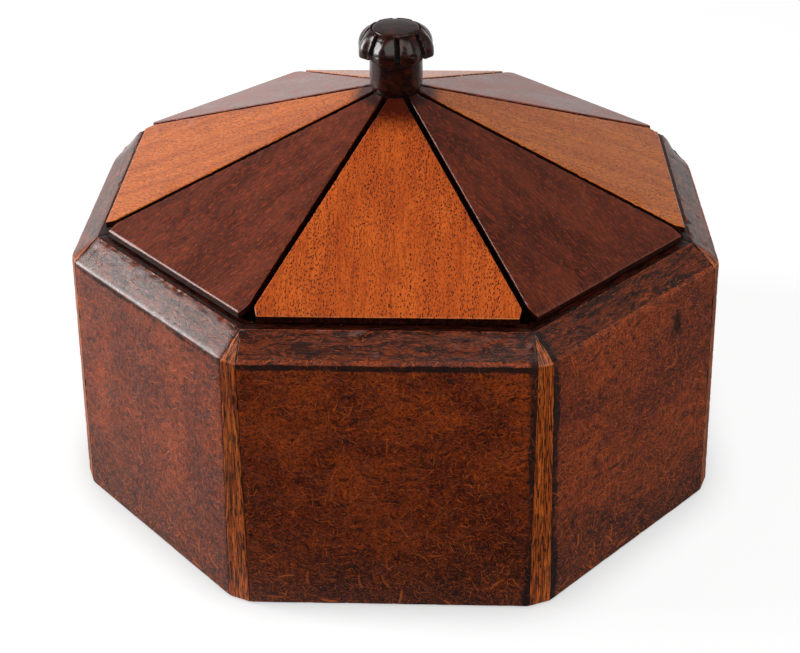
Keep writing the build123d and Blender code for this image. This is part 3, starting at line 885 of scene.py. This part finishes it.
def bevel_wood(name, specular, coat, dullness, relief_share=0.7, streak_share=1.0, crack_share=0.3):
    """The bevel: streaks along it, satin from handling, with hairline cracks and dark patches."""
    s = Shader(name, specular, coat)
    grain, wear, dirt_and_shade = s.attributes("grain", "wear", "dirt_and_shade")
    bent = s.bend(grain, (0.04, 0.1, 1), 2.0, 9.0)
    streaks = s.noise(bent, (0.08, 0.55, 1), 4.0, 0.65)
    s.ground(s.step(streaks, 0.4, 0.62), (46, 19, 12), (118, 50, 22))
    light = s.fibres(bent, (84, 0.3, 2.6, 0.56, 0.7, 0), (100, 0.26, 1.8, 0.58, 0.7, 13))
    s.paint(light, (186, 82, 30), 0.6 * streak_share)
    dark = s.fibres(bent, (92, 0.34, 2.4, 0.56, 0.68, 37), (70, 0.3, 1.6, 0.58, 0.7, 59))
    s.paint(dark, (26, 12, 9), 0.7 * streak_share)
    patches = s.step(s.noise(grain, (0.05, 0.16, 1), 4.0, 0.7), 0.54, 0.64, 0.0, 0.75 * streak_share)
    s.paint(patches, (26, 14, 12))
    off_crack = s.math("ABSOLUTE", s.minus(s.noise(grain, 0.2, 3.0, 0.6, 0.5), 0.47))
    long_cracks = s.times(s.step(off_crack, 0.008, 0.002), s.step(s.noise(grain, 0.08, 1.0), 0.56, 0.62))
    cracks = s.most(s.strokes(grain, 3.4, 3.2, 0.26, crack_share, 0.12, 47.0), long_cracks)
    s.paint(cracks, (12, 6, 5), 0.9)
    breakup = s.noise(grain, 0.5, 4.0, 0.7)
    # dirt, with some of the painted shade under the arris where this wood covers the arris
    dirt_and_shade_layer = s.ragged(s.times(dirt_and_shade, 0.9), s.times(breakup, 0.6), 0.75, 1.2)
    s.paint(dirt_and_shade_layer, (14, 5, 4), 0.9)
    s.paint(s.ragged(wear, s.noise(grain, 0.9, 3.0, 0.6), 1.3, 1.5, 0.9), (196, 92, 38))
    relief = s.minus(s.times(streaks, 0.5), s.plus(cracks, s.times(patches, 0.4)))
    dull = s.most(s.step(breakup, 0.3, 0.7, *dullness), s.times(dirt_and_shade_layer, 0.8))
    return s.finish(dull, relief, 0.08, relief_share)


def strip_wood():
    """The corner strips: open-pored orange-brown wood with black pores along the strip."""
    s = Shader("strip_wood", 0.4)
    grain, wear, dirt_and_shade = s.attributes("grain", "wear", "dirt_and_shade")
    bent = s.bend(grain, (0.05, 0.03, 1), 1.0, 2.0)
    bands = s.noise(bent, (0.9, 0.03, 1), 4.0, 0.6)
    s.ground(s.step(bands, 0.36, 0.64), (166, 70, 20), (226, 116, 42))
    pores = s.fibres(bent, (0, 0.26, 8.0, 0.54, 0.58, 0), (2, 0.4, 5.0, 0.57, 0.62, 23))
    s.paint(pores, (28, 11, 6), 0.9)
    s.paint(s.step(s.noise(grain, (0.3, 0.05, 1), 3.0, 0.6), 0.54, 0.7, 0.0, 0.5), (48, 18, 8))
    breakup = s.noise(grain, 0.9, 3.0, 0.7)
    s.paint(s.ragged(dirt_and_shade, s.times(breakup, 0.6), 0.85, 1.2), (18, 7, 5), 0.9)
    s.paint(s.ragged(wear, breakup, 1.25, 1.55, 0.6), (214, 120, 60))
    relief = s.minus(s.times(bands, 0.4), pores)
    return s.finish(s.step(breakup, 0.3, 0.7, 0.34, 0.5), relief, 0.12, 0.7)


def light_wood():
    """The light lid boards: orange wood with fine radial figure and short dark pores in chains."""
    s = Shader("light_wood", 0.26)
    grain, wear, dirt_and_shade, painted_sheen = s.attributes("grain", "wear", "dirt_and_shade", "painted_sheen")
    bent = s.bend(grain, (0.03, 0.02, 1), 1.0, 3.0)
    s.ground(s.step(s.noise(bent, (0.1, 0.012, 1), 3.0, 0.55), 0.34, 0.66), (200, 86, 32), (224, 104, 38))
    fine = s.noise(bent, (1.4, 0.14, 1), 4.0, 0.7)
    s.paint(s.step(fine, 0.45, 0.62, 0.0, 0.5), (146, 56, 20))
    s.paint(s.step(s.noise(bent, (0.7, 0.03, 1), 3.0, 0.6), 0.5, 0.66, 0.0, 0.32), (140, 54, 22))
    s.paint(s.fibres(bent, (0, 0.4, 2.0, 0.54, 0.68, 9)), (226, 116, 46), 0.4)
    # painted sheen: the boards facing away from the front are painted yellower and paler
    s.tint(painted_sheen, (1.1, 1.5, 1.3))
    chains = s.step(s.noise(bent, (0.4, 0.02, 1)), 0.4, 0.55, 0.55, 1.0)
    wide = s.step(s.spots(s.scaled(bent, (1.3, 0.42, 1)), 1.0)["Distance"], 0.21, 0.15)
    narrow = s.step(s.spots(s.scaled(bent, (0.9, 0.36, 1), (7.3, 3.1, 0)), 1.0)["Distance"], 0.17, 0.12)
    pores = s.times(s.most(wide, narrow), chains)
    s.paint(pores, (40, 15, 13), 0.95)
    s.paint(s.ragged(wear, s.noise(grain, 0.8), 1.25, 1.5, 0.7), (226, 124, 54))
    # painted reflection and shade of the dark knob, darkening the board round the neck
    s.paint(s.ragged(dirt_and_shade, s.times(s.noise(grain, 0.5, 3.0), 0.5), 0.36, 1.1, 0.95), (60, 12, 6))
    return s.finish(s.step(fine, 0.3, 0.7, 0.24, 0.34), s.minus(s.times(fine, 0.3), pores), 0.06, 0.6)


def dark_wood():
    """The dark lid boards: polished red-brown with fine wavy brighter fibres and hairline scratches."""
    s = Shader("dark_wood", 0.35, coat=0.16, coat_roughness=0.1)
    grain, wear, dirt_and_shade, painted_sheen = s.attributes("grain", "wear", "dirt_and_shade", "painted_sheen")
    bent = s.bend(grain, (0.05, 0.04, 1), 2.0, 5.0)
    broad = s.noise(bent, (0.06, 0.02, 1), 3.0, 0.6)
    s.ground(s.step(broad, 0.34, 0.66), (68, 27, 15), (100, 42, 23))
    light = s.fibres(bent, (6, 0.32, 3.6, 0.55, 0.72, 0), (-12, 0.28, 2.0, 0.57, 0.72, 19))
    s.paint(light, (170, 66, 26), 0.6)
    dark = s.fibres(bent, (0, 0.34, 4.0, 0.56, 0.72, 33), (12, 0.3, 2.2, 0.58, 0.72, 71))
    s.paint(dark, (40, 13, 9), 0.6)
    # painted sheen: the dark boards facing away from the front are painted much paler
    s.tint(painted_sheen, (2.3, 2.2, 1.9))
    scratches = s.strokes(grain, 26.0, 14.0, 0.16, 0.4, 0.0, 61.0)
    s.paint(scratches, (170, 110, 86), 0.3)
    nicks = s.strokes(grain, 7.0, 0.8, 0.5, 0.35, 0.0, 91.0)
    s.paint(nicks, (150, 110, 92), 0.5)
    s.paint(s.ragged(wear, s.noise(grain, 0.8), 1.3, 1.5, 0.5), (150, 70, 42))
    # painted reflection and shade of the dark knob, darkening the board round the neck
    s.paint(s.ragged(dirt_and_shade, s.times(s.noise(grain, 0.5, 3.0), 0.5), 0.5, 1.15, 0.85), (34, 8, 5))
    relief = s.minus(s.times(light, 0.4), s.plus(nicks, scratches))
    return s.finish(s.step(broad, 0.3, 0.7, 0.3, 0.4), relief, 0.03, 0.5)


def edge_wood():
    """Sides and underside of the lid boards: stained nearly black, with the end grain just showing."""
    s = Shader("board_edges", 0.15)
    (grain,) = s.attributes("grain")
    streaks = s.noise(grain, (0.8, 0.8, 1), 4.0, 0.7)
    s.ground(s.step(streaks, 0.4, 0.7), (22, 6, 4), (60, 16, 8))
    pores = s.spots(s.scaled(grain, (1.6, 1.6, 1)), 1.0, "3D")["Distance"]
    s.paint(s.step(pores, 0.3, 0.15, 0.0, 0.7), (8, 4, 3))
    return s.finish(s.step(streaks, 0.3, 0.7, 0.3, 0.42), streaks, 0.1, 0.6)


def ledge_wood():
    """The ledge round the lid: stained deep red-brown, glossy, with a few pale specks."""
    s = Shader("ledge_wood", 0.5)
    grain, wear = s.attributes("grain", "wear")
    streaks = s.noise(grain, (0.15, 1.1, 1), 4.0, 0.7)
    s.ground(s.step(streaks, 0.4, 0.66), (22, 7, 4), (74, 24, 10))
    s.paint(s.strokes(grain, 5.0, 0.7, 0.5, 0.3, 0.0, 11.0), (150, 120, 100), 0.7)
    s.paint(s.ragged(wear, s.noise(grain, 0.9, 3.0, 0.6), 1.2, 1.5, 0.9), (176, 74, 28))
    return s.finish(s.step(streaks, 0.3, 0.7, 0.24, 0.4), streaks, 0.1, 0.6)


def knob_wood():
    """The knob: polished near-black red-brown wood, rubbed orange along its edges."""
    s = Shader("knob_wood", 0.48)
    grain, wear, dirt_and_shade = s.attributes("grain", "wear", "dirt_and_shade")
    streaks = s.noise(grain, (0.3, 0.3, 0.5), 4.0, 0.65)
    s.ground(s.step(streaks, 0.42, 0.68), (27, 9, 6), (66, 20, 9))
    s.paint(s.step(s.noise(grain, (2.0, 2.0, 1.2), 2.0, 0.6), 0.6, 0.72, 0.0, 0.4), (98, 30, 12))
    # painted shade, nearly black, in the grooves, the ring groove, at the neck's foot and under the head
    s.paint(dirt_and_shade, (4, 2, 2), 0.95)
    s.paint(s.ragged(wear, s.noise(grain, 0.7, 3.0, 0.6), 1.4, 1.65, 0.9), (176, 66, 22))
    turning = s.noise(grain, (0.05, 0.05, 2.6))
    relief = s.plus(s.times(streaks, 0.15), s.times(turning, 0.4))
    return s.finish(s.most(s.step(streaks, 0.3, 0.7, 0.19, 0.28), dirt_and_shade), relief, 0.04, 0.4)


def plain_wood(name, pale, deep, turn, on_solid=True, specular=0.3):
    """Unfinished inner wood: straight grain, brown from age, with dark stains here and there."""
    s = Shader(name, specular)
    place_at = s.scaled(s.here(), (1 / MM,) * 3) if on_solid else s.attributes("grain")[0]
    turned = s.scaled(place_at, (1, 1, 1), turn=turn)
    bent = s.bend(turned, (0.01, 0.03, 0.03), 1.0, 6.0)
    broad = s.noise(bent, (0.008, 0.16, 0.16), 4.0, 0.6)
    s.ground(s.step(broad, 0.3, 0.7), deep, pale)
    fine = s.noise(bent, (0.05, 1.8, 1.8), 3.0, 0.65)
    s.paint(s.step(fine, 0.45, 0.72, 0.0, 0.5), deep)
    stains = s.step(s.noise(turned, 0.025, 4.0, 0.65), 0.5, 0.75, 0.0, 0.55)
    s.paint(stains, (34, 20, 12))
    relief = s.plus(s.times(broad, 0.4), s.times(fine, 0.5))
    return s.finish(s.step(stains, 0.0, 1.0, 0.6, 0.75), relief, 0.15, 0.6)


# --- Stage ---
def build_world():
    """A studio: white round the horizon, dimmer overhead, to the right and in front; seen as white."""
    world = bpy.data.worlds.new("studio")
    bpy.context.scene.world = world
    world.use_nodes = True
    n = Nodes(world.node_tree)
    x, y, z = n.split(n.here("Generated"))
    around = n.plus(n.step(z, 0.05, 0.35, 0.6, 0.0), n.step(z, 0.4, 0.95, 0.3, 0.12))
    around = n.times(around, n.step(x, -0.4, 0.4, 1.0, 0.75), n.step(y, -0.5, 0.4, 0.3, 1.15))
    background = n.tree.nodes["Background"].inputs
    background["Color"].default_value = (1, 1, 1, 1)
    n.feed(background["Strength"], n.most(n.node("LightPath", {})["Is Camera Ray"], around))


def floor_white():
    """A matt floor; it gives back less light to the right and in front, and looks white to the camera, with a
    painted contact shadow beside the object.
    """
    s = Shader("floor_white", 0.0)
    s.surface.inputs["Roughness"].default_value = 1.0
    here = s.here()
    x, y, _ = s.split(here)
    given = s.times(s.step(x, -0.1, 0.12, 0.7, 0.35), s.step(y, -0.135, -0.113, 0.07, 1.0))
    ray = s.node("LightPath", {})
    seen = ray["Is Camera Ray"]
    grey = s.plus(s.times(given, s.minus(1.0, seen)), s.times(seen, FLOOR_GREY))
    s.feed(s.surface.inputs["Base Color"], grey)
    mirrored = s.times(s.step(y, 0.13, 0.3, 0.0, 0.6), ray["Is Glossy Ray"])
    # painted contact shadow: the glow the camera sees is dimmed where the object is near
    contact = s.node("AmbientOcclusion", {"Distance": CONTACT_REACH})["AO"]
    glow_less_contact_shadow = s.step(contact, 0.3, 1.0, FLOOR_GLOW - CONTACT_SHADE, FLOOR_GLOW)
    away = s.node("VectorMath", {0: here}, operation="LENGTH")["Value"]
    lit = s.plus(glow_less_contact_shadow, s.step(away, 0.6, 2.0, 0.0, 1 - FLOOR_GLOW))
    glow = s.node("Emission", {"Color": (1, 1, 1, 1), "Strength": s.plus(s.times(seen, lit), mirrored)})
    both = s.node("AddShader", {0: s.surface.outputs[0], 1: glow[0]})
    s.feed(s.tree.nodes["Material Output"].inputs["Surface"], both[0])
    return s.material


def build_floor():
    """A wide pale floor that keeps the object's shadow."""
    mesh = bpy.data.meshes.new("floor")
    corners = [(-FLOOR_SIZE, -FLOOR_SIZE, 0), (FLOOR_SIZE, -FLOOR_SIZE, 0)]
    mesh.from_pydata(corners + [(-x, -y, 0) for x, y, _ in corners], [], [(0, 1, 2, 3)])
    mesh.materials.append(floor_white())
    floor = bpy.data.objects.new("floor", mesh)
    bpy.context.scene.collection.objects.link(floor)


def aim(thing, place_at, look_at, roll=0.0):
    """Links a lamp or camera into the scene at a place and turns it towards another."""
    bpy.context.scene.collection.objects.link(thing)
    thing.location = place_at
    thing.rotation_mode = "QUATERNION"
    look = (Vector(look_at) - Vector(place_at)).to_track_quat("-Z", "Y")
    thing.rotation_quaternion = look @ Quaternion((0, 0, 1), radians(roll))


def area_lamp(name, place_at, size, radiance):
    """A soft lamp of a given brightness that shines on the object."""
    light = bpy.data.lights.new(name, "AREA")
    light.shape = "RECTANGLE"
    light.size, light.size_y = size
    light.energy = radiance * pi * size[0] * size[1]
    lamp = bpy.data.objects.new(name, light)
    aim(lamp, place_at, LAMPS_TARGET)


def build_camera():
    """The camera of the photograph, whose picture was shifted so that uprights stay nearly upright."""
    data = bpy.data.cameras.new("camera")
    data.sensor_width = 36.0
    data.lens = CAMERA_LENS
    data.shift_y = CAMERA_SHIFT
    data.clip_start, data.clip_end = 0.01, 50.0
    camera = bpy.data.objects.new("camera", data)
    aim(camera, Vector(CAMERA_PLACE) * MM, Vector(CAMERA_TARGET) * MM, CAMERA_ROLL)
    bpy.context.scene.camera = camera


def dress_box():
    """Every finer piece, each in the place of its solid."""
    inside = plain_wood("stave_inside", (104, 66, 38), (62, 36, 20), pi / 2, on_solid=False)
    burr, bevel, ledge = burr_wood(), bevel_wood("bevel_wood", 0.42, 0.05, (0.26, 0.38)), ledge_wood()
    polished_arris = bevel_wood("arris_wood", 0.48, 0.0, (0.25, 0.34), 0.25, 0.5)
    polished_bevel = bevel_wood("bevel_polished", 0.45, 0.04, (0.27, 0.35), 0.5, 0.75, 0.6)
    strip, light, dark, edges = strip_wood(), light_wood(), dark_wood(), edge_wood()
    for k in range(8):
        rim, arris = (polished_bevel, polished_arris) if k in HANDLED_WALLS else (bevel, burr)
        build_stave(k, [burr, rim, inside, ledge, arris])
        build_strip(k, [strip])
        build_board(k, [light if is_light(k) else dark, edges], BOARD_PAINTED_SHEEN[k])
    build_knob(knob_wood())


def finish_solids():
    """The wood of the solids that stay as they are."""
    finishes = {
        "base_board": plain_wood("base_plank", (122, 82, 50), (74, 44, 24), 0.0),
        # painted shade: the core seen down the gaps between the boards is near-black
        "lid_core": plain_wood("core_painted_shade", (14, 7, 5), (7, 4, 3), 0.3, specular=0.0),
        "lid_locating_board": plain_wood("locating_plank", (112, 74, 44), (66, 40, 22), pi / 2),
    }
    for name, material in finishes.items():
        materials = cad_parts[name].data.materials
        materials.clear()
        materials.append(material)


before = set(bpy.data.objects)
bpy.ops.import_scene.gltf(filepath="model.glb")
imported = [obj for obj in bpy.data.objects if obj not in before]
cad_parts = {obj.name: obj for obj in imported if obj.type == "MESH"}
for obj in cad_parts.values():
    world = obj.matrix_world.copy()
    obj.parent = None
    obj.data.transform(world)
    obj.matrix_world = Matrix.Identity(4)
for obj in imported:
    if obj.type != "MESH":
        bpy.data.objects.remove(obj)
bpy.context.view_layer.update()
dress_box()
finish_solids()
build_world()
build_floor()
area_lamp("key", place_at=(-1.25, 0.12, 0.52), size=(0.5, 0.9), radiance=13.0)
area_lamp("front_fill", place_at=(0.6, -0.86, 1.0), size=(1.8, 1.4), radiance=1.85)
build_camera()
bpy.context.scene.view_settings.view_transform = "Standard"
